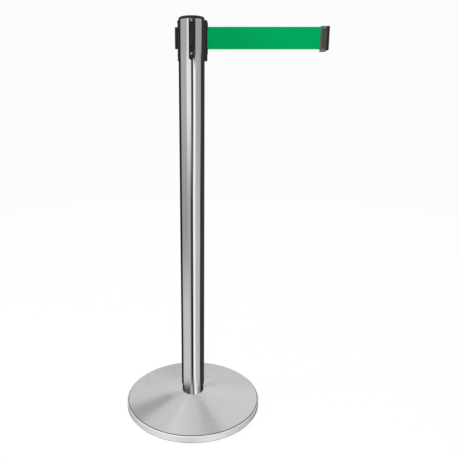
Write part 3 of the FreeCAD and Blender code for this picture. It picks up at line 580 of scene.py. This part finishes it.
def clip_plastic():
    """The belt clip's grey, with a painted highlight: its outer faces and both ends are painted paler than
    its hollows.
    """
    f = moulded("clip_plastic", (0.040, 0.038, 0.034), 0.45, 2.4)
    low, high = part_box("clip_body")
    _, y, z = f.split(f.place)
    depth = f.math("ABSOLUTE", y)
    outer = f.smooth(depth, -low.y - 0.5 * MM, -low.y - 0.2 * MM)
    bottom = f.smooth(z, low.z + 4.2 * MM, low.z + 3.4 * MM)
    top = f.smooth(z, high.z - 3.4 * MM, high.z - 2.6 * MM)
    ends = f.math("MAXIMUM", bottom, f.math("MULTIPLY", top, 0.55))
    # Painted highlight: the outer faces and both ends, the bottom most, painted paler than the hollows.
    painted_highlight = f.math("MAXIMUM", f.math("MULTIPLY", outer, 0.42), ends)
    plain = f.shader.inputs["Base Color"].links[0].from_socket
    f.set("Base Color", f.mix(painted_highlight, plain, (0.150, 0.144, 0.132, 1)))
    return f


def plated(name, colour, roughness):
    """Plated or ground steel: fine scratches all ways and a mottled brightness."""
    f = Finish(name, colour, roughness, 1.0)
    fine = f.noise(f.stretch(f.place, (1, 1, 6)), 900, 3.0)
    mottled = f.noise(f.place, 220, 3.0)
    f.set("Base Color", f.shades(mottled, 0.82, 1.06))
    f.set("Roughness", f.smooth(fine, 0.3, 0.7, roughness * 0.8, roughness * 1.3))
    f.bumps((fine, 0.006 * MM))
    return f


def cast_iron():
    f = Finish("cast_iron", (0.055, 0.055, 0.057), 0.62)
    sand = f.noise(f.place, 900, 4.0, 0.65)
    lumps = f.noise(f.place, 90, 3.0)
    f.set("Base Color", f.shades(lumps, 0.75, 1.35))
    f.set("Roughness", f.smooth(sand, 0.3, 0.7, 0.52, 0.74))
    f.bumps((lumps, 0.4 * MM), (sand, 0.16 * MM))
    return f


def black_rubber():
    f = Finish("black_rubber", (0.018, 0.018, 0.018), 0.8)
    grain = f.noise(f.place, 1300, 3.0)
    dust = f.noise(f.place, 60, 4.0, 0.65)
    f.set("Base Color", f.shades(f.smooth(dust, 0.5, 0.8), 1.0, 2.4))
    f.set("Roughness", f.smooth(grain, 0.3, 0.7, 0.72, 0.88))
    f.bumps((grain, 0.05 * MM))
    return f


def webbing():
    """Plain-woven polyester tape: warp and weft yarns that cross over and under, with fibres along each."""
    f = Finish("belt_webbing", (0.0004, 0.297, 0.086), 0.82)
    f.set("Specular IOR Level", 0.03)
    f.set("Sheen Weight", 0.02)
    x, _, z = f.split(f.place)
    warp = f.math("SINE", f.math("MULTIPLY", z, math.pi / WEAVE_ACROSS))
    weft = f.math("SINE", f.math("MULTIPLY", x, math.pi / WEAVE_ALONG))
    over = f.math("MULTIPLY", warp, weft)
    crown = f.math("ABSOLUTE", over)
    fibres_along = f.noise(f.stretch(f.place, (700, 700, 9000)), 1.0, 2.0)
    fibres_across = f.noise(f.stretch(f.place, (9000, 700, 700)), 1.0, 2.0)
    on_top = f.smooth(over, -0.1, 0.1)
    fibres = f.mix(on_top, fibres_across, fibres_along)
    height = f.math("ADD", crown, f.math("MULTIPLY", fibres, 0.35))
    uneven = f.noise(f.stretch(f.place, (0.35, 1, 1)), 150, 3.0)
    shade = f.math("ADD", f.math("MULTIPLY", crown, 0.6), f.math("MULTIPLY", uneven, 0.4))
    f.set("Base Color", f.shades(shade, 0.90, 1.08))
    f.set("Roughness", f.smooth(fibres, 0.3, 0.7, 0.74, 0.9))
    f.bumps((height, YARN_DEPTH))
    return f


def make_finishes():
    return {
        "polished_stainless": polished_stainless(),
        "spun_stainless": spun_stainless(),
        "cast_iron": cast_iron(),
        "black_rubber": black_rubber(),
        "belt_webbing": webbing(),
        # Black plastic: edges painted eight times paler, mostly a painted highlight.
        "black_plastic": moulded("black_plastic", (0.009, 0.009, 0.0094), 0.38, 8.0, 0.32),
        "clip_plastic": clip_plastic(),
        "cassette_plastic": moulded("cassette_plastic", (0.035, 0.035, 0.037), 0.5),
        "spool_nylon": moulded("spool_nylon", (0.62, 0.60, 0.54), 0.48, 1.15),
        "zinc_steel": plated("zinc_steel", (0.66, 0.67, 0.66), 0.34),
        "bright_screw": plated("bright_screw", (0.80, 0.79, 0.77), 0.2),
        "axle_steel": plated("axle_steel", (0.62, 0.62, 0.61), 0.24),
        "spring_steel": plated("spring_steel", (0.23, 0.25, 0.30), 0.3),
        "bronze": plated("bronze", (0.62, 0.40, 0.19), 0.38),
    }


def finish_cad_nodes(finishes):
    slots = {part["node"]: part["material_slot"] for part in frame["record"]["subparts"]}
    for name, obj in frame["nodes"].items():
        material = finishes[slots[name]].material
        if not obj.data.materials:
            obj.data.materials.append(material)
        for material_slot in obj.material_slots:
            material_slot.material = material
        obj.visible_glossy = name not in UNREFLECTED


# ---------------------------------------------------------------- belt


def tape_section(low_z, high_z, thick):
    """The tape's cross-section as (offset, height) points: two faces and two rounded selvedges."""
    half = thick / 2
    heights = [low_z + half + (high_z - low_z - thick) * i / BELT_COLUMNS for i in range(BELT_COLUMNS + 1)]
    section = [(-half, z) for z in heights]
    for i in range(1, SELVEDGE_STEPS):
        a = math.pi * i / SELVEDGE_STEPS
        section.append((-half * math.cos(a), heights[-1] + half * math.sin(a)))
    section += [(half, z) for z in reversed(heights)]
    for i in range(1, SELVEDGE_STEPS):
        a = math.pi * i / SELVEDGE_STEPS
        section.append((half * math.cos(a), heights[0] - half * math.sin(a)))
    return section


def tape(name, centreline, low_z, high_z, thick):
    """A tape standing on edge along a centreline of (x, y) points."""
    section = tape_section(low_z, high_z, thick)
    line = [Vector(p) for p in centreline]
    points = []
    for i, p in enumerate(line):
        along = (line[min(i + 1, len(line) - 1)] - line[max(i - 1, 0)]).normalized()
        left = Vector((-along.y, along.x))
        points += [(p.x + left.x * o, p.y + left.y * o, z) for o, z in section]
    n = len(section)
    faces = [tuple(range(n))[::-1]]
    for i in range(len(line) - 1):
        a, b = i * n, (i + 1) * n
        faces += [(a + j, a + (j + 1) % n, b + (j + 1) % n, b + j) for j in range(n)]
    faces.append(tuple(range((len(line) - 1) * n, len(line) * n)))
    return surface_mesh(name, points, faces)


def ease(t):
    return t * t * (3 - 2 * t)


def belt_centreline(roll_r, mouth_x, clip_x, pin_x, pin_r):
    """From the roll's tangent point, round the exit's lip, straight out, and round the pin in the clip."""
    roll = roll_r + BELT_THICK / 2
    reach = math.hypot(BEND_X, BEND_R)
    alpha = math.asin((roll + BEND_R) / reach) - math.atan2(BEND_R, BEND_X)
    start = Vector((roll * math.sin(alpha), roll * math.cos(alpha)))
    bend = Vector((BEND_X - BEND_R * math.sin(alpha), BEND_R * (1 - math.cos(alpha))))
    line = [tuple(start.lerp(bend, i / LEAD_STEPS)) for i in range(LEAD_STEPS + 1)]
    for i in range(1, LEAD_STEPS + 1):
        a = alpha * (1 - i / LEAD_STEPS)
        line.append((BEND_X - BEND_R * math.sin(a), BEND_R * (1 - math.cos(a))))
    line += [(mouth_x, 0.0), (clip_x, 0.0)]
    loop_r = pin_r + BELT_THICK / 2 + LOOP_CLEAR
    neck = clip_x + LOOP_NECK
    swing = pin_x - neck
    line.append((neck, 0.0))
    for i in range(1, LEAD_STEPS):
        t = i / LEAD_STEPS
        line.append((neck + swing * t, -loop_r * ease(t)))
    for i in range(LOOP_STEPS + 1):
        a = math.pi * i / LOOP_STEPS
        line.append((pin_x + loop_r * math.sin(a), -loop_r * math.cos(a)))
    close = BELT_THICK * TAIL_LIFT
    for i in range(1, LEAD_STEPS):
        t = i / LEAD_STEPS
        line.append((pin_x - (swing - TAIL_SHORT) * t, loop_r + (close - loop_r) * ease(t)))
    return line


def make_belt(finishes):
    low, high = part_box("belt_strap")
    roll_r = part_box("belt_roll")[1].x
    mouth_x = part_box("exit_bezel")[1].x
    clip_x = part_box("clip_body")[0].x
    pin_low, pin_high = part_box("belt_pin")
    pin_x, pin_r = (pin_low.x + pin_high.x) / 2, (pin_high.x - pin_low.x) / 2
    line = belt_centreline(roll_r, mouth_x, clip_x, pin_x, pin_r)
    belt = tape("belt", line, low.z, high.z, BELT_THICK)
    belt.data.materials.append(finishes["belt_webbing"].material)
    belt.visible_glossy = False
    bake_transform(belt)
    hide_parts("belt_strap")


def make_roll(finishes):
    """The belt still on the spool, wound in a spiral."""
    low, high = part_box("belt_roll")
    first, last = HUB_R + BELT_THICK / 2, high.x - BELT_THICK / 2
    turns = (last - first) / BELT_THICK
    steps = int(turns * ROLL_STEPS_PER_TURN)
    line = []
    for i in range(steps + 1):
        angle = -TAU * turns * i / steps
        r = first + (last - first) * i / steps
        line.append((r * math.cos(angle), r * math.sin(angle)))
    roll = tape("belt_on_spool", line, low.z, high.z, BELT_THICK * ROLL_THICK_SHARE)
    roll.data.materials.append(finishes["belt_webbing"].material)
    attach(roll, "spool")
    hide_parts("belt_roll")


# ---------------------------------------------------------------- the scene

make_camera()
bpy.context.scene.view_settings.view_transform = "Standard"
make_sky()
make_floor()
make_lights()
all_finishes = make_finishes()
finish_cad_nodes(all_finishes)
make_belt(all_finishes)
make_roll(all_finishes)
